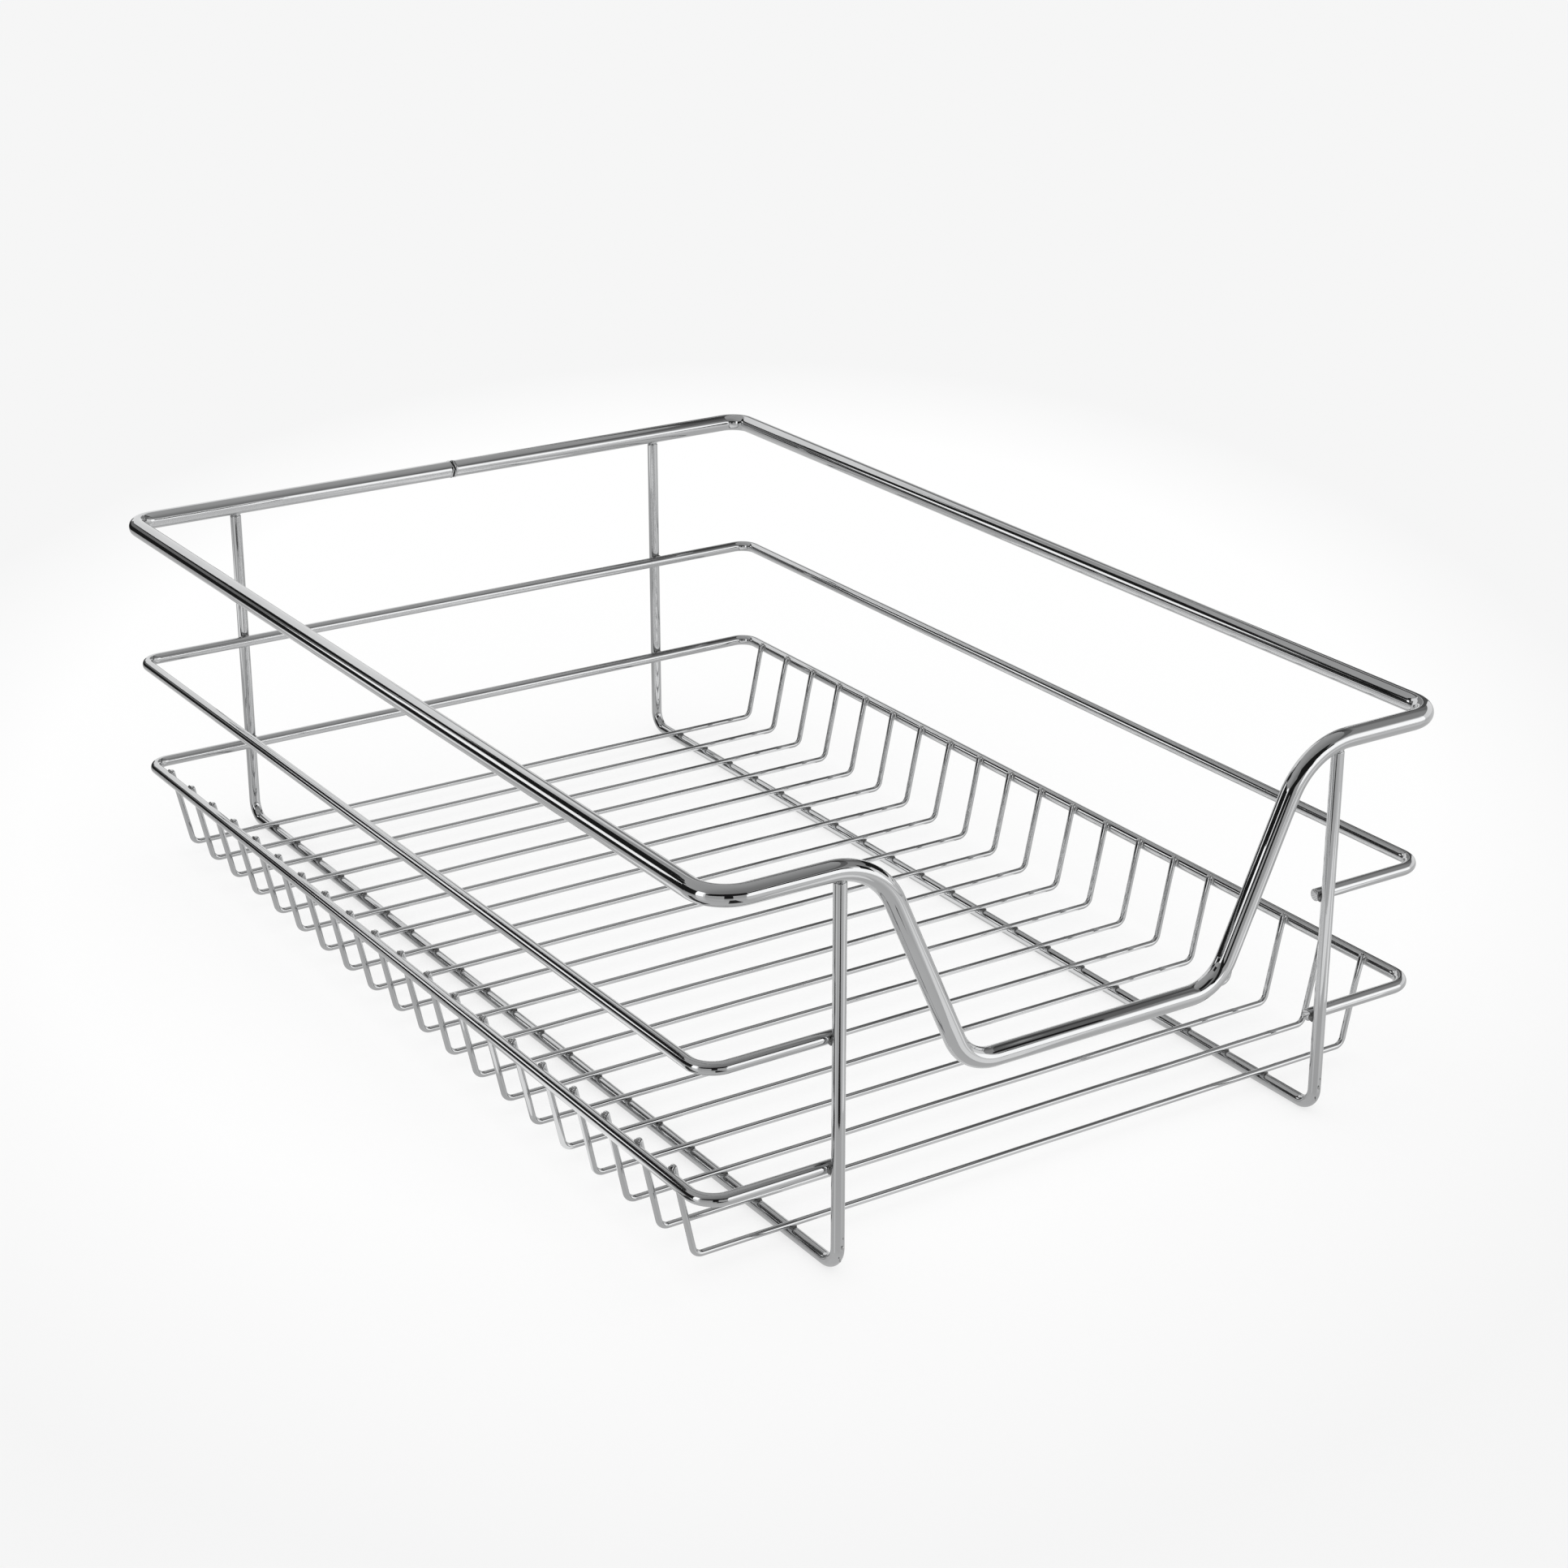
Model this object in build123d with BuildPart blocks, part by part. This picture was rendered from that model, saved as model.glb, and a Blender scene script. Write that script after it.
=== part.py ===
from build123d import *
import math
import os

# Chromed wire basket, the drawer that a pair of runners carries out of a cupboard.
# It is bent and welded from round steel wire: a thick rim whose front dips, two rails
# inside the uprights, two U frames that stand on the floor, and thin floor wires.
#
# Millimetres. The origin is on the floor under the middle of the basket, +Z is up,
# the dipped front faces -Y, and +X is to the right seen from the front.

# Wire thicknesses
rim_wire = 8.0
rail_wire = 5.0
frame_wire = 5.0
floor_wire = 2.5

# Round wire is drawn with narrow flats, fewer on the thinner wires, to keep the model
# light. Thickness is measured across the flats, so wires touch where round ones would.
rim_flat_count = 12
thinner_wire_flat_count = 8

# Outline of the basket. The rim and both rails are flush at the sides.
basket_width = 335.0
rail_length = 500.0

# Centre line heights above the floor
lower_rail_height = 41.5
dip_height = 68.5
middle_rail_height = 92.5
rim_height = 157.5

# Bends, all measured to the centre line of the wire
rim_back_bend = 10.0
rim_front_bend = 14.0
rail_back_bend = 8.0
rail_front_bend = 10.0
frame_bend = 8.0
floor_wire_bend = 4.0

# The dip in the rim's front: where its slope, produced, meets the high and the low run
dip_top_width = 195.0
dip_bottom_width = 115.6
dip_top_bend = 30.0
dip_bottom_bend = 19.0

# The two U frames, centre to centre
frame_spacing = 225.0

# Floor wires: how many, how far the first and last lie from the lower rail's back and
# front, how wide they lie flat, and how far their tips rise past the lower rail
floor_wire_count = 20
first_wire_setback = 18.5
last_wire_setback = 25.25
floor_width = 308.0
tip_rise = 3.0

# Welds: how far two crossing wires melt into each other, the bead where the rim's
# two ends meet, and the broken edge of a cut end
weld_depth = 0.3
bead_width = 2.4
bead_rise = 0.3
cut_edge = 0.4

# Places that follow from the sizes above
rim_x = (basket_width - rim_wire) / 2
rail_x = (basket_width - rail_wire) / 2
rail_y = (rail_length - rail_wire) / 2
frame_x = frame_spacing / 2
upright_y = rail_y + (rail_wire + frame_wire) / 2 - weld_depth
rail_end_x = frame_x - frame_wire / 2
floor_wire_height = frame_wire + floor_wire / 2 - weld_depth

os.makedirs("parts", exist_ok=True)


def wire_section(thickness, flat_count):
    """The cut through a wire, with flats above, below and at both sides."""
    RegularPolygon(thickness / 2, flat_count, major_radius=False, rotation=180 / flat_count)


def bent_wire(corners, bends, thickness, flat_count):
    """One wire, straight from corner to corner and bent to the given radii there."""
    with BuildPart() as wire:
        with BuildLine() as route:
            FilletPolyline(*corners, radius=bends)
        with BuildSketch(Plane(origin=route.line @ 0, z_dir=route.line % 0)):
            wire_section(thickness, flat_count)
        sweep(path=route.line)
    return wire.part


# Top rim: half a loop, from the middle of the back round one side and down the dip to
# the middle of the front, and its mirror image. It stands on the tops of the uprights.
rim_corners = [
    (0, upright_y, rim_height),
    (-rim_x, upright_y, rim_height),
    (-rim_x, -upright_y, rim_height),
    (-dip_top_width / 2, -upright_y, rim_height),
    (-dip_bottom_width / 2, -upright_y, dip_height),
    (0, -upright_y, dip_height),
]
rim_bends = [rim_back_bend, rim_front_bend, dip_top_bend, dip_bottom_bend]

with BuildPart() as top_rim:
    add(bent_wire(rim_corners, rim_bends, rim_wire, rim_flat_count))
    mirror(about=Plane.YZ)
    # The bead of the butt weld, in the middle of the back, is highest along its middle
    with BuildSketch(Plane(origin=(0, upright_y, rim_height), z_dir=(1, 0, 0))):
        wire_section(rim_wire + 2 * bead_rise, rim_flat_count)
    bead_slope = math.degrees(math.atan(2 * bead_rise / bead_width))
    extrude(amount=bead_width / 2, both=True, taper=bead_slope)

top_rim.part.label = "top_rim"
export_step(top_rim.part, "parts/top_rim.step")


# Frames: front upright, bottom run and back upright, bent from one wire. The uprights
# end against the underside of the rim and are shaped to it.
def make_frame(x):
    """The U frame in the plane at x, with its tops fitted under the rim."""
    corners = [
        (x, -upright_y, rim_height),
        (x, -upright_y, frame_wire / 2),
        (x, upright_y, frame_wire / 2),
        (x, upright_y, rim_height),
    ]
    with BuildPart() as frame:
        bends = [frame_bend, frame_bend]
        add(bent_wire(corners, bends, frame_wire, thinner_wire_flat_count))
        add(top_rim.part, mode=Mode.SUBTRACT)
        # Nothing of an upright stays above the rim
        kept = frame.solids().sort_by(Axis.Z)[0]
        add(kept, mode=Mode.REPLACE)
    return frame


frames = {"left_frame": make_frame(-frame_x), "right_frame": make_frame(frame_x)}

for name, frame in frames.items():
    frame.part.label = name
    export_step(frame.part, f"parts/{name}.step")


# Rails: a U that is open at the front, where both ends turn in and stop at the inner
# edge of the front uprights. They lie inside the uprights and are welded to them.
def make_rail(height):
    """The rail with its centre line at the given height, saddled onto the uprights."""
    corners = [
        (-rail_end_x, -rail_y, height),
        (-rail_x, -rail_y, height),
        (-rail_x, rail_y, height),
        (rail_x, rail_y, height),
        (rail_x, -rail_y, height),
        (rail_end_x, -rail_y, height),
    ]
    bends = [rail_front_bend, rail_back_bend, rail_back_bend, rail_front_bend]
    with BuildPart() as rail:
        add(bent_wire(corners, bends, rail_wire, thinner_wire_flat_count))
        cut_ends = rail.faces().filter_by(Axis.X).sort_by_distance((0, -rail_y, height))[:2]
        chamfer(cut_ends.edges(), cut_edge)
        for frame in frames.values():
            add(frame.part, mode=Mode.SUBTRACT)
    return rail


rails = {"middle_rail": make_rail(middle_rail_height), "lower_rail": make_rail(lower_rail_height)}

for name, rail in rails.items():
    rail.part.label = name
    export_step(rail.part, f"parts/{name}.step")


# Floor wires: each lies across the frames' bottom runs and is bent up at both ends, so
# that its legs lean outwards against the inside of the lower rail. The leg's line
# passes the rail's centre at leg_offset, and ends tip_rise beyond that place.
knee_x = floor_width / 2
leg_offset = (rail_wire + floor_wire) / 2 - weld_depth
run_out = rail_x - knee_x
run_up = lower_rail_height - floor_wire_height
reach = math.hypot(run_out, run_up)
leg_lean = math.atan2(run_out, run_up) - math.asin(leg_offset / reach)
leg_length = math.sqrt(reach**2 - leg_offset**2) + tip_rise
tip_x = knee_x + leg_length * math.sin(leg_lean)
tip_height = floor_wire_height + leg_length * math.cos(leg_lean)

floor_wire_corners = [
    (-tip_x, 0, tip_height),
    (-knee_x, 0, floor_wire_height),
    (knee_x, 0, floor_wire_height),
    (tip_x, 0, tip_height),
]

with BuildPart() as floor_wire_shape:
    bends = [floor_wire_bend, floor_wire_bend]
    add(bent_wire(floor_wire_corners, bends, floor_wire, thinner_wire_flat_count))
    cut_tips = floor_wire_shape.faces().sort_by(Axis.Z)[-2:]
    chamfer(cut_tips.edges(), cut_edge)
    for crossed in [*frames.values(), rails["lower_rail"]]:
        add(crossed.part, mode=Mode.SUBTRACT)

# The wires share one shape, because what they cross runs straight along Y
first_wire_y = rail_y - first_wire_setback
last_wire_y = last_wire_setback - rail_y
wire_pitch = (first_wire_y - last_wire_y) / (floor_wire_count - 1)

for number in range(floor_wire_count):
    with BuildPart() as cross_wire:
        with Locations((0, first_wire_y - number * wire_pitch, 0)):
            add(floor_wire_shape.part)
    name = f"cross_wire_{number + 1:02d}"
    cross_wire.part.label = name
    export_step(cross_wire.part, f"parts/{name}.step")
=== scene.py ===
import math

import bmesh
import bpy
from mathutils import Matrix, Vector, noise


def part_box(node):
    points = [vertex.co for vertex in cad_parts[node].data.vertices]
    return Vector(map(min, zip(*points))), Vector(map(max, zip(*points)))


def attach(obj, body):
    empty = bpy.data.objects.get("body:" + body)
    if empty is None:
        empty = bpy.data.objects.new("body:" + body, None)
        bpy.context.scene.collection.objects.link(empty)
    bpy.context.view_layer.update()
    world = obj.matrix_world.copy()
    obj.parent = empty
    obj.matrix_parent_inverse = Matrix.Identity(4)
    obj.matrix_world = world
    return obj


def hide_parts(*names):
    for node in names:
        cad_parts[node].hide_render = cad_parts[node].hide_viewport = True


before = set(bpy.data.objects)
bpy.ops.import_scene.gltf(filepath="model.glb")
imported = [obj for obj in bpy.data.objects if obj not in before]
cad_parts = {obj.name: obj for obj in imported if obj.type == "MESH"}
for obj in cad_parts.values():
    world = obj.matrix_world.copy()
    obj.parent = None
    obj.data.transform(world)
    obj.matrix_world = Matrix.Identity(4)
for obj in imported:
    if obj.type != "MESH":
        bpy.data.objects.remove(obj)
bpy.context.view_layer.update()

# The looks of the chromed wire basket: every wire as one smooth round sweep, the small
# welds that join them, a chrome material, and a pale studio. Metres, with 1 mm named.
mm = 0.001

# Wire radii, and bends to the wire's centre line
rim_radius = 4.0 * mm
rail_radius = 2.5 * mm
frame_radius = 2.5 * mm
floor_radius = 1.25 * mm
rim_back_bend = 10 * mm
rim_front_bend = 14 * mm
dip_top_bend = 30 * mm
dip_bottom_bend = 19 * mm
rail_back_bend = 8 * mm
rail_front_bend = 10 * mm
frame_bend = 8 * mm
floor_bend = 4 * mm

# The dip in the rim's front: where its slopes meet the high and the low run
dip_top_x = 97.5 * mm
dip_bottom_x = 57.8 * mm

# Floor wires: where they bend up, and how far their tips rise past the lower rail
knee_x = 154 * mm
tip_rise = 3 * mm

# Welds: how far crossing wires melt together, and how proud the rim's bead stands
melt = 0.3 * mm
bead_rise = 0.3 * mm

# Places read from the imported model
rim_low, rim_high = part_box("top_rim")
rim_x = rim_high.x - rim_radius
rim_y = -rim_low.y - rim_radius
rim_z = rim_high.z - bead_rise - rim_radius
dip_z = rim_low.z + rim_radius

lower_low, lower_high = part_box("lower_rail")
middle_low, middle_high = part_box("middle_rail")
rail_x = lower_high.x - rail_radius
rail_y = lower_high.y - rail_radius
lower_z = (lower_low.z + lower_high.z) / 2
middle_z = (middle_low.z + middle_high.z) / 2

frame_low, frame_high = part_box("right_frame")
frame_x = (frame_low.x + frame_high.x) / 2
upright_y = frame_high.y - frame_radius
rail_end_x = frame_low.x

floor_names = sorted(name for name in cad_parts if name.startswith("cross_wire_"))
floor_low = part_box(floor_names[0])[0]
floor_z = floor_low.z + floor_radius
leg_offset = rail_radius + floor_radius - melt
leg_reach = math.hypot(rail_x - knee_x, lower_z - floor_z)
leg_lean = math.atan2(rail_x - knee_x, lower_z - floor_z) - math.asin(leg_offset / leg_reach)
leg_length = math.sqrt(leg_reach**2 - leg_offset**2) + tip_rise
tip_x = knee_x + leg_length * math.sin(leg_lean)
tip_z = floor_z + leg_length * math.cos(leg_lean)

# How finely the sweeps are cut along bends, on runs, at the rim's bead and at the uprights'
# necks, and how many sides they have
bend_step = math.radians(5)
run_step = 12 * mm
bead_step = 0.12 * mm
neck_step = 0.1 * mm
rim_sides = 64
wire_sides = 40
floor_sides = 24

# How far off a run a place may lie and still count as on it, and how close cuts may come
run_tolerance = 0.1 * mm
least_gap = 0.001 * mm

# Edges that turn by more than this stay sharp
sharp_edge = math.radians(50)


# Routes


def rounded_route(corners, bends, closed=False):
    """Points along straight runs from corner to corner, with round bends at the corners."""
    corners = [Vector(corner) for corner in corners]
    count = len(corners)
    turning = range(count) if closed else range(1, count - 1)
    stretches = []
    for place, number in enumerate(turning):
        here = corners[number]
        back = (corners[number - 1] - here).normalized()
        on = (corners[(number + 1) % count] - here).normalized()
        inside = back.angle(on)
        radius = bends[place]
        centre = here + (back + on).normalized() * radius / math.sin(inside / 2)
        start = here + back * radius / math.tan(inside / 2) - centre
        end = here + on * radius / math.tan(inside / 2) - centre
        turn = math.pi - inside
        hinge = start.cross(end)
        steps = max(2, math.ceil(turn / bend_step))
        angles = [turn * k / steps for k in range(steps + 1)]
        stretches.append([centre + Matrix.Rotation(angle, 3, hinge) @ start for angle in angles])
    if not closed:
        stretches = [[corners[0]], *stretches, [corners[-1]]]
    points = []
    for number, stretch in enumerate(stretches):
        points += stretch
        if not closed and number == len(stretches) - 1:
            break
        last = stretch[-1]
        run = stretches[(number + 1) % len(stretches)][0] - last
        steps = max(1, math.ceil(run.length / run_step))
        points += [last + run * k / steps for k in range(1, steps)]
    return points


def refined(points, place, reach, step):
    """The route with close points within reach of a place on one of its straight runs."""
    fine = []
    for number, point in enumerate(points):
        on = points[(number + 1) % len(points)]
        fine.append(point)
        run = on - point
        along = (place - point).dot(run.normalized())
        if (point + run.normalized() * along - place).length > run_tolerance:
            continue
        first = max(along - reach, 0)
        final = min(along + reach, run.length)
        if final <= first:
            continue
        steps = math.ceil((final - first) / step)
        extra = [first + (final - first) * k / steps for k in range(steps + 1)]
        extra = [distance for distance in extra if least_gap < distance < run.length - least_gap]
        fine += [point + run.normalized() * distance for distance in extra]
    return fine


# Sweeps


def section_frames(points, closed):
    """For each point the two directions that its round section is drawn in, without twist."""
    count = len(points)
    tangents = []
    for number in range(count):
        before = points[number - 1] if closed or number else points[0]
        after = points[(number + 1) % count] if closed or number < count - 1 else points[-1]
        tangents.append((after - before).normalized())
    side = tangents[0].orthogonal().normalized()
    sides = [side]
    for number in range(1, count + closed):
        swing = tangents[number - 1].rotation_difference(tangents[number % count])
        side = swing @ side
        sides.append(side)
    twist = 0
    if closed:
        twist = math.atan2(sides[-1].cross(sides[0]).dot(tangents[0]), sides[-1].dot(sides[0]))
    frames = []
    for number in range(count):
        turned = Matrix.Rotation(twist * number / count, 3, tangents[number]) @ sides[number]
        frames.append((turned, tangents[number].cross(turned)))
    return frames


def sweep(name, points, radius, sides, closed=False, radius_at=None, end_round=0.0):
    """A round wire along the points. What radius_at(point, direction) gives is added to its
    radius, and end_round rounds off the edges of its cut ends."""
    frames = section_frames(points, closed)
    rings = [(point, across, up, radius) for point, (across, up) in zip(points, frames)]
    if end_round and not closed:
        rings = rounded_ends(rings, end_round)
    mesh = bmesh.new()
    map_layer = mesh.loops.layers.uv.new("along_wire")
    made = []
    for point, across, up, ring_radius in rings:
        ring = []
        for k in range(sides):
            angle = 2 * math.pi * k / sides
            direction = across * math.cos(angle) + up * math.sin(angle)
            grown = radius_at(point, direction) if radius_at else 0
            ring.append(mesh.verts.new(point + direction * (ring_radius + grown)))
        made.append(ring)
    distance = [0.0]
    for number in range(1, len(rings) + closed):
        step = rings[number % len(rings)][0] - rings[number - 1][0]
        distance.append(distance[-1] + step.length)
    for number in range(len(made) - 1 + closed):
        ring = made[number]
        following = made[(number + 1) % len(made)]
        for k in range(sides):
            beside = (k + 1) % sides
            face = mesh.faces.new((ring[k], ring[beside], following[beside], following[k]))
            places = [(k, number), (k + 1, number), (k + 1, number + 1), (k, number + 1)]
            for loop, (around, along) in zip(face.loops, places):
                loop[map_layer].uv = (distance[along] / (2 * math.pi * radius), around / sides)
    if not closed:
        mesh.faces.new(reversed(made[0]))
        mesh.faces.new(made[-1])
    mesh.normal_update()
    return finished(name, mesh)


def rounded_ends(rings, end_round):
    """The rings with each end ring replaced by a few that round off the cut end's edge."""
    steps = 3
    shaped = list(rings)
    for first, second in ((0, 1), (-1, -2)):
        point, across, up, radius = shaped[first]
        inward = (shaped[second][0] - point).normalized()
        drawn = []
        for k in range(steps + 1):
            angle = math.pi / 2 * k / steps
            drop = end_round * (1 - math.cos(angle))
            depth = end_round * (1 - math.sin(angle))
            drawn.append((point + inward * depth, across, up, radius - drop))
        if first == 0:
            shaped = list(reversed(drawn)) + shaped[1:]
        else:
            shaped = shaped[:-1] + drawn
    return shaped


def finished(name, mesh):
    """The object for a mesh, shaded smooth except at its sharp edges."""
    for face in mesh.faces:
        face.smooth = True
    bmesh.ops.recalc_face_normals(mesh, faces=mesh.faces)
    data = bpy.data.meshes.new(name)
    mesh.to_mesh(data)
    mesh.free()
    data.set_sharp_from_angle(angle=sharp_edge)
    piece = bpy.data.objects.new(name, data)
    bpy.context.collection.objects.link(piece)
    return piece


# Materials

# The noise textures hardly pass these values
noise_low = 0.3
noise_high = 0.7

# Streaks along the wire: how close their pattern is along and round it, measured in the
# wire's girth, and its scale
streak_stretch = (0.4, 8.0, 1.0)
streak_scale = 3.0

# Patches of duller metal: their scale, and their colour as a share of the bright one
patch_scale = 30.0
dull_share = 0.93


def socket_value(node, name, value):
    """Sets the value that a node's input has of its own."""
    node.inputs[name].default_value = value


def grey(brightness):
    return (brightness, brightness, brightness, 1)


def new_material(name):
    material = bpy.data.materials.new(name)
    material.use_nodes = True
    return material, material.node_tree.nodes, material.node_tree.links


def add_noise(nodes, scale, detail):
    texture = nodes.new("ShaderNodeTexNoise")
    socket_value(texture, "Scale", scale)
    socket_value(texture, "Detail", detail)
    return texture


def add_bump(nodes, depth):
    bump = nodes.new("ShaderNodeBump")
    socket_value(bump, "Strength", 1.0)
    socket_value(bump, "Distance", depth)
    return bump


def chrome_material(name, colour, roughness, spread, streak_depth, dimple_depth, dimple_scale):
    """Chrome on drawn wire: faint streaks along the wire, soft dimples, patches of duller
    metal, and roughness that varies by spread with the streaks."""
    material, nodes, links = new_material(name)
    shader = nodes["Principled BSDF"]
    socket_value(shader, "Metallic", 1.0)

    wire_map = nodes.new("ShaderNodeTexCoord")
    stretch = nodes.new("ShaderNodeMapping")
    socket_value(stretch, "Scale", streak_stretch)
    links.new(wire_map.outputs["UV"], stretch.inputs["Vector"])
    streaks = add_noise(nodes, scale=streak_scale, detail=4.0)
    links.new(stretch.outputs["Vector"], streaks.inputs["Vector"])

    dimples = add_noise(nodes, scale=dimple_scale, detail=2.0)
    links.new(wire_map.outputs["Object"], dimples.inputs["Vector"])

    patches = add_noise(nodes, scale=patch_scale, detail=3.0)
    links.new(wire_map.outputs["Object"], patches.inputs["Vector"])

    tint = nodes.new("ShaderNodeValToRGB")
    dull, bright = tint.color_ramp.elements
    dull.position = noise_low
    dull.color = (*[part * dull_share for part in colour], 1)
    bright.position = noise_high
    bright.color = (*colour, 1)
    links.new(patches.outputs["Fac"], tint.inputs["Fac"])
    links.new(tint.outputs["Color"], shader.inputs["Base Color"])

    gloss = nodes.new("ShaderNodeMapRange")
    socket_value(gloss, "From Min", noise_low)
    socket_value(gloss, "From Max", noise_high)
    socket_value(gloss, "To Min", roughness - spread)
    socket_value(gloss, "To Max", roughness + spread)
    links.new(streaks.outputs["Fac"], gloss.inputs["Value"])
    links.new(gloss.outputs["Result"], shader.inputs["Roughness"])

    streak_bump = add_bump(nodes, streak_depth)
    links.new(streaks.outputs["Fac"], streak_bump.inputs["Height"])
    dimple_bump = add_bump(nodes, dimple_depth)
    links.new(dimples.outputs["Fac"], dimple_bump.inputs["Height"])
    links.new(streak_bump.outputs["Normal"], dimple_bump.inputs["Normal"])
    links.new(dimple_bump.outputs["Normal"], shader.inputs["Normal"])
    return material


chrome_colour = (0.60, 0.605, 0.61)
weld_colour = (0.50, 0.50, 0.50)
# Painted shade: the dark colour of the floor and rail welds stands in for the shade and dark
# reflection in the notch at each crossing
weld_shade_colour = (0.20, 0.20, 0.20)
# Painted shade: the near-black colour of the lumps in the rim's butt weld groove stands in for
# the shade and dark reflection there
groove_shade_colour = (0.06, 0.06, 0.06)

# After the colour: roughness and its spread, depth of the streaks and of the dimples, and
# the dimples' scale
rim_chrome = chrome_material(
    "rim_chrome", chrome_colour, 0.05, 0.02, 0.0006 * mm, 0.02 * mm, 90
)
wire_chrome = chrome_material(
    "wire_chrome", chrome_colour, 0.06, 0.02, 0.0006 * mm, 0.025 * mm, 110
)
floor_chrome = chrome_material(
    "floor_chrome", chrome_colour, 0.06, 0.02, 0.0005 * mm, 0.03 * mm, 130
)
weld_chrome = chrome_material(
    "weld_chrome", weld_colour, 0.10, 0.05, 0.001 * mm, 0.2 * mm, 500
)
weld_shade = chrome_material(
    "weld_shade", weld_shade_colour, 0.15, 0.05, 0.001 * mm, 0.2 * mm, 500
)
groove_shade = chrome_material(
    "groove_shade", groove_shade_colour, 0.4, 0.1, 0.001 * mm, 0.2 * mm, 700
)


def dress(piece, material, *nodes):
    """Gives a piece its material, its body and slot, and hides the CAD nodes it stands for."""
    piece.data.materials.append(material)
    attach(piece, "root")
    if nodes:
        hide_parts(*nodes)


# Top rim, with the bead where its two ends were welded

# The bead: how far it and the close cuts reach from the middle of the back, and how far
# its seam strays
bead_reach = 3.5 * mm
bead_cut_reach = 3 * mm
seam_stray = 0.8 * mm

# Its two lips, at both sides of the seam, and the groove between them. The lumps make the
# right lip and the groove uneven.
left_lip_place, left_lip_width, left_lip_height = -0.95 * mm, 0.5 * mm, 0.3 * mm
right_lip_place, right_lip_width, right_lip_height = 0.9 * mm, 0.45 * mm, 0.2 * mm
groove_width, groove_depth = 0.42 * mm, 0.75 * mm
lip_lumps, groove_lumps = 0.15 * mm, 0.2 * mm


def hump(distance, width):
    """A smooth rise: 1 at no distance, and gone at about twice the width."""
    return math.exp(-((distance / width) ** 2))


def seam_place(direction):
    """The x of the bead's seam, at a direction round the wire."""
    return -seam_stray * noise.noise(direction * 1.9 + Vector((3.1, 0, 0)))


def bead_profile(point, direction):
    """Two proud lips with a deep groove between them, uneven round the wire, in the middle
    of the back."""
    if point.y < 0 or abs(point.x) > bead_reach:
        return 0
    along = point.x - seam_place(direction)
    lumpy = noise.noise(direction * 4.3 + Vector((0, 7.7, 0)))
    left_lip = left_lip_height * hump(along - left_lip_place, left_lip_width)
    right_height = right_lip_height + lip_lumps * lumpy
    right_lip = right_height * hump(along - right_lip_place, right_lip_width)
    groove = (groove_depth + groove_lumps * lumpy) * hump(along, groove_width)
    return min(left_lip + right_lip - groove, bead_rise)


def make_rim():
    corners = [
        (rim_x, rim_y, rim_z),
        (-rim_x, rim_y, rim_z),
        (-rim_x, -rim_y, rim_z),
        (-dip_top_x, -rim_y, rim_z),
        (-dip_bottom_x, -rim_y, dip_z),
        (dip_bottom_x, -rim_y, dip_z),
        (dip_top_x, -rim_y, rim_z),
        (rim_x, -rim_y, rim_z),
    ]
    front = [rim_front_bend, dip_top_bend, dip_bottom_bend]
    bends = [rim_back_bend, rim_back_bend, *front, *reversed(front)]
    route = rounded_route(corners, bends, closed=True)
    route = refined(route, Vector((0, rim_y, rim_z)), bead_cut_reach, bead_step)
    return sweep("rim_wire", route, rim_radius, rim_sides, closed=True, radius_at=bead_profile)


dress(make_rim(), rim_chrome, "top_rim")


# Frames, whose uprights run up into the rim and stop short of its centre line

upright_stop = 1 * mm

# The neck: how far the close cuts reach from the rim's underside, and how far below that
# side it lies
neck_cut_reach = 1.6 * mm
neck_drop, neck_width, neck_depth = 0.25 * mm, 0.3 * mm, 0.5 * mm


def neck_profile(point, direction):
    """The melted-in neck at the top of an upright, just under the rim."""
    below = rim_z - rim_radius - point.z
    return -neck_depth * hump(below - neck_drop, neck_width)


def make_frame(name, x):
    top = rim_z - upright_stop
    corners = [
        (x, -upright_y, top),
        (x, -upright_y, frame_radius),
        (x, upright_y, frame_radius),
        (x, upright_y, top),
    ]
    route = rounded_route(corners, [frame_bend, frame_bend])
    for y in (-upright_y, upright_y):
        route = refined(route, Vector((x, y, rim_z - rim_radius)), neck_cut_reach, neck_step)
    return sweep(name, route, frame_radius, wire_sides, radius_at=neck_profile)


dress(make_frame("left_frame_wire", -frame_x), wire_chrome, "left_frame")
dress(make_frame("right_frame_wire", frame_x), wire_chrome, "right_frame")


# Rails

rail_end_round = 0.5 * mm


def make_rail(name, z):
    corners = [
        (-rail_end_x, -rail_y, z),
        (-rail_x, -rail_y, z),
        (-rail_x, rail_y, z),
        (rail_x, rail_y, z),
        (rail_x, -rail_y, z),
        (rail_end_x, -rail_y, z),
    ]
    bends = [rail_front_bend, rail_back_bend, rail_back_bend, rail_front_bend]
    route = rounded_route(corners, bends)
    return sweep(name, route, rail_radius, wire_sides, end_round=rail_end_round)


dress(make_rail("middle_rail_wire", middle_z), wire_chrome, "middle_rail")
dress(make_rail("lower_rail_wire", lower_z), wire_chrome, "lower_rail")


# Floor wires, each a little uneven as bent thin wire is

floor_end_round = 0.9 * mm

# Tips are pressed flat from press_start below the rail's centre line, and in full
# press_length above that. How much wider and thinner that makes them, in mm.
press_start = 4 * mm
press_length = 3 * mm
press_widening = 0.3
press_thinning = 0.15

# How many mm lower than tip_z the tips are cut. On the left it grows from front to back.
left_cut = 0.2
left_cut_growth = 1.1
right_cut = 0.9
cut_spread = 0.25

# How many mm the wires stray sideways and up or down, the scale of that noise, and how far
# from a frame and from a tip it comes in full
side_stray = 0.5
height_stray = 0.15
stray_scale = 12
held_length = 20 * mm
tip_fade = 15 * mm


def tip_profile(point, direction):
    """The tip pressed flat against the rail: wider along the rail, thinner across it."""
    if point.z < lower_z - press_start:
        return 0
    pressed = min(1, (point.z - lower_z + press_start) / press_length)
    return (press_widening * direction.y**2 - press_thinning * direction.x**2) * mm * pressed


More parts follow.
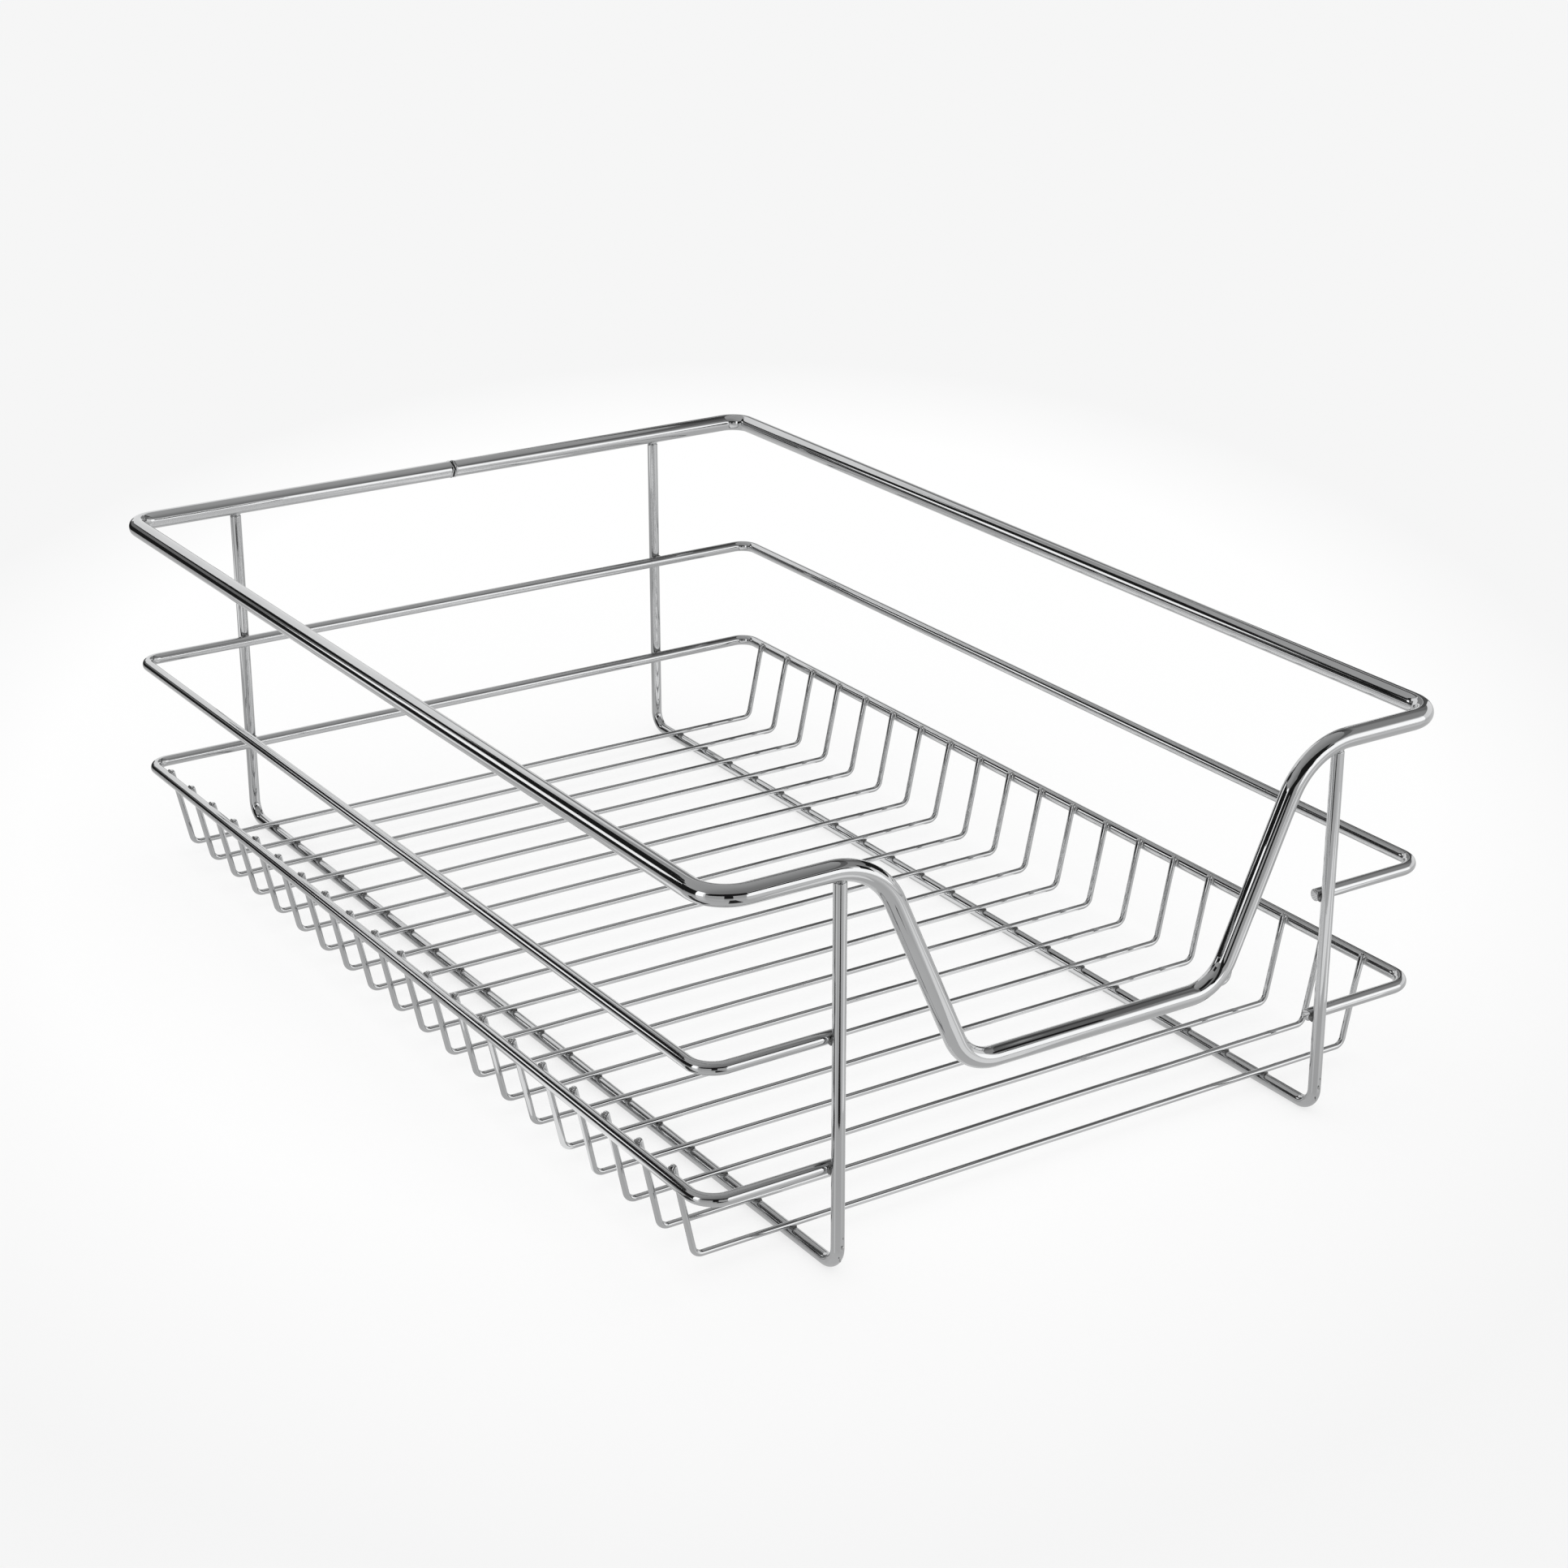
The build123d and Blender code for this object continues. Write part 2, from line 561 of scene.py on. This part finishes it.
def make_floor_wire(name, y, seed):
    left_fall = left_cut + left_cut_growth * (y + rail_y) / (2 * rail_y)
    left_fall += cut_spread * noise.noise(Vector((seed * 1.3, 0, 0)))
    right_fall = right_cut + cut_spread * noise.noise(Vector((seed * 1.3, 9, 0)))
    corners = [
        (-tip_x, y, tip_z - left_fall * mm),
        (-knee_x, y, floor_z),
        (knee_x, y, floor_z),
        (tip_x, y, tip_z - right_fall * mm),
    ]
    wobbly = []
    for point in rounded_route(corners, [floor_bend, floor_bend]):
        # noise_vector isn't used, because the clock shifts it from run to run
        spot = Vector((point.x * stray_scale, seed * 7.3, point.z * stray_scale))
        sideways = side_stray * noise.noise(spot)
        upward = height_stray * noise.noise(spot + Vector((0, 0, 40)))
        held = min(1, abs(abs(point.x) - frame_x) / held_length)
        fade = min(1, max(0, tip_z - point.z) / tip_fade) * held
        wobbly.append(point + Vector((0, sideways, upward)) * mm * fade)
    return sweep(
        name, wobbly, floor_radius, floor_sides, radius_at=tip_profile, end_round=floor_end_round
    )


for number, node in enumerate(floor_names):
    low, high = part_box(node)
    piece = make_floor_wire(f"floor_wire_{number + 1:02d}", (low.y + high.y) / 2, number + 1)
    dress(piece, floor_chrome, node)


# Welds: small melted nuggets where two wires cross

# Their radii, along the three directions that each is laid in
floor_nugget = (1.7 * mm, 2.5 * mm, 0.75 * mm)
tip_nugget = (2.0 * mm, 2.0 * mm, 0.6 * mm)
tip_lobe = (0.75 * mm, 0.6 * mm, 0.6 * mm)
rail_nugget = (3.1 * mm, 2.6 * mm, 1.0 * mm)
rim_shoulder = (0.6 * mm, 1.3 * mm, 0.5 * mm)
seam_lump = (0.42 * mm, 0.35 * mm, 0.5 * mm)
lumpiness = 0.16

# Where they lie: how deep in the bottom run, how far up the leg, how far the lobe lies from
# its nugget, and how far into the upright and up into the rim a shoulder lies
floor_nugget_sink = 0.1 * mm
tip_nugget_rise = 0.4 * mm
lobe_rise, lobe_inset, lobe_aside = 1.0 * mm, 0.1 * mm, 1.35 * mm
shoulder_inset, shoulder_rise = 0.2 * mm, 0.3 * mm

# The painted shade in the butt weld's groove, as dark lumps along its seam: their count, how
# deep they lie, and how much deeper every third one lies
seam_lumps = 36
seam_sink = 0.3 * mm
third_sink = 0.15 * mm

# Drops of spatter on each upright: height in mm, degrees round the upright and radius in
# mm. From one upright to the next they climb and swing back.
spatter_drops = ((11.5, 8, 0.55), (6.5, -14, 0.4), (15.0, 20, 0.3))
spatter_climb = 0.7
spatter_swing = 9
spatter_stretch = 1.5
spatter_proud = 0.05 * mm

x_axis = Vector((1, 0, 0))
y_axis = Vector((0, 1, 0))
z_axis = Vector((0, 0, 1))
level_axes = (x_axis, y_axis, z_axis)
corner_sides = ((-1, -1), (1, -1), (-1, 1), (1, 1))


def add_nugget(mesh, place, axes, size, seed):
    """A lumpy ellipsoid. axes are its three directions and size its three radii."""
    turn = Matrix(axes).transposed()
    made = bmesh.ops.create_icosphere(mesh, subdivisions=3, radius=1.0)
    for vertex in made["verts"]:
        lump = 1 + lumpiness * noise.noise(vertex.co * 1.7 + Vector((seed * 3.7, seed, 0)))
        shaped = Vector([part * radius for part, radius in zip(vertex.co, size)]) * lump
        vertex.co = Vector(place) + turn @ shaped


def make_floor_welds(name, x):
    """The nuggets where the floor wires lie on one frame's bottom run."""
    mesh = bmesh.new()
    for number, node in enumerate(floor_names):
        low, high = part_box(node)
        place = (x, (low.y + high.y) / 2, 2 * frame_radius - floor_nugget_sink)
        add_nugget(mesh, place, level_axes, floor_nugget, number + x * 100)
    return finished(name, mesh)


def make_tip_welds(name, side):
    """The nuggets between the floor wires' tips and the inside of the lower rail, squeezed
    out to both sides of each wire, each with a small lobe."""
    mesh = bmesh.new()
    leg = Vector((side * math.sin(leg_lean), 0, math.cos(leg_lean)))
    outward = Vector((side * math.cos(leg_lean), 0, -math.sin(leg_lean)))
    contact = Vector((side * rail_x, 0, lower_z)) - outward * (rail_radius - melt / 2)
    for number, node in enumerate(floor_names):
        low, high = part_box(node)
        place = contact + leg * tip_nugget_rise + y_axis * (low.y + high.y) / 2
        lobe = place + leg * lobe_rise - outward * lobe_inset + y_axis * lobe_aside
        seed = number + side * 40
        add_nugget(mesh, place, (leg, y_axis, outward), tip_nugget, seed)
        add_nugget(mesh, lobe, (leg, y_axis, outward), tip_lobe, seed + 3)
    return finished(name, mesh)


def make_rail_welds():
    """The nuggets where both rails cross the four uprights."""
    mesh = bmesh.new()
    for level, z in enumerate((lower_z, middle_z)):
        for number, (x_side, y_side) in enumerate(corner_sides):
            place = (x_side * frame_x, y_side * (rail_y + rail_radius - melt / 2), z)
            seed = level * 10 + number
            add_nugget(mesh, place, (x_axis, z_axis, y_axis), rail_nugget, seed)
    return finished("rail_welds", mesh)


def make_rim_welds():
    """The melted shoulders at both sides of each upright's top, under the rim."""
    mesh = bmesh.new()
    for number, (x_side, y_side) in enumerate(corner_sides):
        for shoulder in (-1, 1):
            x = x_side * frame_x + shoulder * (frame_radius - shoulder_inset)
            place = (x, y_side * rim_y, rim_z - rim_radius + shoulder_rise)
            add_nugget(mesh, place, level_axes, rim_shoulder, number + shoulder * 9 + 60)
    return finished("rim_welds", mesh)


def make_groove_shade():
    """Painted shade: uneven dark lumps in the groove of the rim's butt weld, standing in for the
    shade and dark reflection there.
    """
    mesh = bmesh.new()
    for number in range(seam_lumps):
        angle = 2 * math.pi * number / seam_lumps
        around = Vector((0, math.cos(angle), math.sin(angle)))
        reach = rim_radius - seam_sink - third_sink * (number % 3 == 0)
        place = Vector((seam_place(around), rim_y, rim_z)) + around * reach
        add_nugget(mesh, place, (x_axis, around, x_axis.cross(around)), seam_lump, number)
    return finished("butt_weld_seam", mesh)


def make_spatter():
    """Small drops of weld on the uprights, near the floor."""
    mesh = bmesh.new()
    reach = frame_radius + spatter_proud
    for number, (x_side, y_side) in enumerate(corner_sides):
        for height, turn, radius in spatter_drops:
            around = math.radians(turn - spatter_swing * number)
            x = x_side * frame_x + reach * math.sin(around)
            y = y_side * upright_y - reach * math.cos(around)
            z = (height + number * spatter_climb) * mm
            drop = (radius * mm, radius * mm, radius * spatter_stretch * mm)
            add_nugget(mesh, (x, y, z), level_axes, drop, number * 5 + height)
    return finished("weld_spatter", mesh)


# The floor and rail welds carry painted shade: a dark colour for the shade and dark reflection
# at the crossings
dress(make_floor_welds("left_floor_welds", -frame_x), weld_shade)
dress(make_floor_welds("right_floor_welds", frame_x), weld_shade)
dress(make_tip_welds("left_tip_welds", -1), weld_chrome)
dress(make_tip_welds("right_tip_welds", 1), weld_chrome)
dress(make_rail_welds(), weld_shade)
dress(make_rim_welds(), weld_chrome)
dress(make_spatter(), weld_chrome)
# The lumps in the butt weld's groove are painted shade
dress(make_groove_shade(), groove_shade)


# Stage: a pale floor under a pale world, with lit and dark cards for the chrome to show

# The floor's tone, and a painted pool of light: the floor's colour is whiter in an oval round
# the basket, which lifts the basket's shadow there and fades over the last pool_fade of its
# reach
background = 0.921
lit_pool_white = 1.0
pool_place = (0.155, 0.25)
pool_size = (0.47, 0.75)
pool_turn = -32.5
pool_fade = 0.26

# How much of the floor's tone takes no shadow, and how the chrome sees the floor
plain_share = 0.7
floor_in_chrome = 0.68
floor_index = 1.9
floor_polish = 0.08


def make_floor():
    mesh = bmesh.new()
    bmesh.ops.create_circle(mesh, cap_ends=True, segments=96, radius=12)
    floor = finished("studio_floor", mesh)
    material, nodes, links = new_material("studio_floor")
    # Pale, with a painted pool of light: a little whiter round the basket
    where = nodes.new("ShaderNodeTexCoord")
    pool = nodes.new("ShaderNodeTexGradient")
    pool.gradient_type = "SPHERICAL"
    reach = nodes.new("ShaderNodeMapping")
    reach.vector_type = "TEXTURE"
    socket_value(reach, "Location", (*pool_place, 0))
    socket_value(reach, "Rotation", (0, 0, math.radians(pool_turn)))
    socket_value(reach, "Scale", (*pool_size, 1))
    links.new(where.outputs["Object"], reach.inputs["Vector"])
    links.new(reach.outputs["Vector"], pool.inputs["Vector"])
    colour = nodes.new("ShaderNodeValToRGB")
    colour.color_ramp.elements[0].color = grey(background)
    colour.color_ramp.elements[1].color = grey(lit_pool_white)
    colour.color_ramp.elements[1].position = pool_fade
    links.new(pool.outputs["Fac"], colour.inputs["Fac"])
    shader = nodes["Principled BSDF"]
    socket_value(shader, "Roughness", 0.9)
    socket_value(shader, "Specular IOR Level", 0.0)
    links.new(colour.outputs["Color"], shader.inputs["Base Color"])
    # Most of what the camera sees is the plain colour, so the shadows stay faint
    plain = nodes.new("ShaderNodeEmission")
    links.new(colour.outputs["Color"], plain.inputs["Color"])
    seen = nodes.new("ShaderNodeMixShader")
    socket_value(seen, "Fac", plain_share)
    links.new(shader.outputs["BSDF"], seen.inputs[1])
    links.new(plain.outputs["Emission"], seen.inputs[2])
    # The chrome sees a pale sheet with a polish that mirrors the cards at low angles
    sheet = nodes.new("ShaderNodeEmission")
    socket_value(sheet, "Color", grey(floor_in_chrome))
    mirror = nodes.new("ShaderNodeBsdfGlossy")
    socket_value(mirror, "Roughness", floor_polish)
    angle = nodes.new("ShaderNodeFresnel")
    socket_value(angle, "IOR", floor_index)
    polished = nodes.new("ShaderNodeMixShader")
    links.new(angle.outputs["Fac"], polished.inputs["Fac"])
    links.new(sheet.outputs["Emission"], polished.inputs[1])
    links.new(mirror.outputs["BSDF"], polished.inputs[2])
    path = nodes.new("ShaderNodeLightPath")
    blend = nodes.new("ShaderNodeMixShader")
    links.new(path.outputs["Is Glossy Ray"], blend.inputs["Fac"])
    links.new(seen.outputs["Shader"], blend.inputs[1])
    links.new(polished.outputs["Shader"], blend.inputs[2])
    links.new(blend.outputs["Shader"], nodes["Material Output"].inputs["Surface"])
    floor.data.materials.append(material)


def make_world():
    world = bpy.data.worlds.new("studio")
    bpy.context.scene.world = world
    world.use_nodes = True
    nodes = world.node_tree.nodes
    links = world.node_tree.links
    light = nodes["Background"]
    socket_value(light, "Color", grey(1.0))
    socket_value(light, "Strength", 1.0)
    # The camera sees it as pale as the far floor, so no horizon shows
    backdrop = nodes.new("ShaderNodeBackground")
    socket_value(backdrop, "Color", grey(background))
    path = nodes.new("ShaderNodeLightPath")
    blend = nodes.new("ShaderNodeMixShader")
    links.new(path.outputs["Is Camera Ray"], blend.inputs["Fac"])
    links.new(light.outputs["Background"], blend.inputs[1])
    links.new(backdrop.outputs["Background"], blend.inputs[2])
    links.new(blend.outputs["Shader"], nodes["World Output"].inputs["Surface"])


def add_card(name, place, target, width, height, shades):
    """A card for the chrome to show, unseen by the camera and casting no shadow. shades
    lists (place, brightness) from 0 at its foot to 1 at its head."""
    mesh = bmesh.new()
    bmesh.ops.create_grid(mesh, x_segments=1, y_segments=1, size=0.5)
    bmesh.ops.scale(mesh, vec=(width, height, 1), verts=mesh.verts)
    card = finished(name, mesh)
    card.location = place
    card.rotation_euler = (Vector(target) - Vector(place)).to_track_quat("-Z", "Y").to_euler()
    material, nodes, links = new_material(name)
    nodes.remove(nodes["Principled BSDF"])
    where = nodes.new("ShaderNodeTexCoord")
    parts = nodes.new("ShaderNodeSeparateXYZ")
    links.new(where.outputs["Generated"], parts.inputs["Vector"])
    ramp = nodes.new("ShaderNodeValToRGB")
    while len(ramp.color_ramp.elements) < len(shades):
        ramp.color_ramp.elements.new(0.5)
    for element, (position, brightness) in zip(ramp.color_ramp.elements, shades):
        element.position = position
        element.color = grey(brightness)
    links.new(parts.outputs["Y"], ramp.inputs["Fac"])
    glow = nodes.new("ShaderNodeEmission")
    links.new(ramp.outputs["Color"], glow.inputs["Color"])
    links.new(glow.outputs["Emission"], nodes["Material Output"].inputs["Surface"])
    card.data.materials.append(material)
    card.visible_camera = False
    card.visible_diffuse = False
    card.visible_shadow = False


def add_standing_card(name, azimuth, distance, width, foot, head, shades):
    """A card that stands upright, facing the basket. azimuth turns from the back of the
    basket towards its right."""
    turn = math.radians(azimuth)
    height = (foot + head) / 2
    place = (distance * math.sin(turn), distance * math.cos(turn), height)
    add_card(name, place, (0, 0, height), width, head - foot, shades)


def add_lying_card(name, place, width, length, turn, shades):
    """A card that lies level. turn swings its length from +Y towards +X."""
    add_card(name, place, (place[0], place[1], place[2] - 1), width, length, shades)
    bpy.data.objects[name].rotation_euler.z -= math.radians(turn)


def even(brightness):
    """The shades of a card that is equally bright all over."""
    return [(0, brightness), (1, brightness)]


make_floor()
make_world()

dark = 0.015
black = even(dark)
softbox_shades = [(0, 1.6), (0.6, 1.6), (0.8, 0.7), (1, 0.3)]
wall_shades = [(0, 0.5), (0.44, 0.5), (0.46, dark), (0.69, dark), (0.71, 0.42), (1, 0.42)]

# Name, azimuth, distance, width, height of the foot and of the head, shades
standing_cards = [
    ("front_right_softbox", 148, 1.64, 1.6, 0.02, 1.1, softbox_shades),
    ("front_wall", -153.7, 1.9, 3.9, 0.0, 1.7, wall_shades),
    ("front_flag", -153, 1.5, 0.4, 0.0, 0.75, black),
    ("front_high_flag", -155, 1.45, 2.43, 0.51, 1.05, black),
    ("front_rim_flag", 168, 0.685, 0.3, 0.33, 0.42, black),
    ("left_softbox", -100, 1.5, 0.42, 0.05, 0.95, even(1.7)),
    ("left_flag", -69, 1.5, 1.28, 0.0, 0.95, black),
    ("back_left_softbox", -37.1, 2.47, 0.52, 0.45, 1.15, even(1.45)),
    ("back_left_wall", -33, 2.8, 3.2, 0.2, 1.3, even(0.2)),
    ("back_left_high_flag", -32, 1.42, 0.75, 0.775, 1.18, black),
    ("back_left_side_flag", -24, 1.4, 0.26, 0.56, 1.18, black),
    ("back_left_low_flag", -33, 0.85, 1.1, 0.0, 0.235, black),
    ("back_left_step_flag", -54, 0.91, 0.42, 0.2, 0.3, black),
    ("back_right_wall", 38, 1.6, 0.7, 0.4, 1.2, even(0.3)),
    ("right_flag", 60, 1.5, 0.4, 0.0, 0.9, even(0.1)),
]
for card in standing_cards:
    add_standing_card(*card)

# Close to the bends of the dip: name, place, what the card faces, width, height, shades
near_cards = [
    ("dip_flag", (-0.03, -0.2285, 0.177), (-1, -0.2285, 0.177), 0.067, 0.038, black),
    ("bend_flag", (0.072, -0.339, 0.227), (0.0975, -0.252, 0.15), 0.125, 0.07, black),
]
for card in near_cards:
    add_card(*card)

ceiling_shades = [
    (0, 0.2), (0.4, 0.3), (0.6, 0.45), (0.87, 0.5), (0.92, 0.4), (0.96, 0.8), (1, 1.0)
]
right_shades = [(0, 0.17), (0.6, 0.17), (0.72, 0.07), (1, 0.07)]
far_right_shades = [(0, 0.35), (0.6, 0.35), (0.72, 0.2), (1, 0.2)]
on_floor = 0.002

# Name, place, width, length, turn, shades
lying_cards = [
    ("ceiling", (-0.65, -0.35, 1.2), 2.74, 3.7, 0, ceiling_shades),
    ("ceiling_flag", (-0.5, 1.28, 1.19), 0.5, 0.45, 0, black),
    ("right_ceiling", (0.835, -0.5, 1.2), 0.23, 3.4, 0, right_shades),
    ("far_right_ceiling", (1.7, -0.5, 1.2), 1.5, 3.4, 0, far_right_shades),
    ("back_floor_glow", (-0.40, 0.42, on_floor), 0.16, 0.3, 0, even(1.1)),
    ("left_floor_glow", (0.068, -0.43, on_floor), 0.09, 0.26, -41, even(1.05)),
    ("right_floor_glow", (0.26, -0.417, on_floor), 0.06, 0.24, -41, even(1.2)),
    ("side_floor_glow", (-0.234, -0.058, on_floor), 0.07, 0.24, -31, even(1.15)),
    ("floor_flag", (-0.209, -0.471, on_floor), 0.085, 0.26, 24, even(0.03)),
    ("side_floor_flag", (-0.32, -0.155, on_floor), 0.06, 0.26, -65, even(0.05)),
    ("inner_floor_glow", (-0.02, 0, on_floor), 0.16, 0.48, 0, even(0.85)),
    ("inner_right_floor_glow", (0.1, 0.03, on_floor), 0.1, 0.36, 0, even(1.08)),
    ("front_floor_line", (0.3, -0.8, on_floor), 1.6, 0.1, 148, even(0.5)),
]
for card in lying_cards:
    add_lying_card(*card)


# Camera, as fitted to the photograph, whose frame is 1932 pixels square

camera_place = (-658.6 * mm, -1061.5 * mm, 580.7 * mm)
camera_azimuth = math.radians(32.89)
camera_dip = math.radians(21.888)
focal_pixels = 3867.8
frame_pixels = 1932

camera_data = bpy.data.cameras.new("camera")
camera_data.sensor_width = 36
camera_data.lens = focal_pixels / frame_pixels * camera_data.sensor_width
camera_data.clip_start = 0.01
camera = bpy.data.objects.new("camera", camera_data)
bpy.context.collection.objects.link(camera)
camera.location = camera_place
camera.rotation_euler = (math.pi / 2 - camera_dip, 0, -camera_azimuth)
bpy.context.scene.camera = camera
bpy.context.scene.view_settings.view_transform = "Standard"
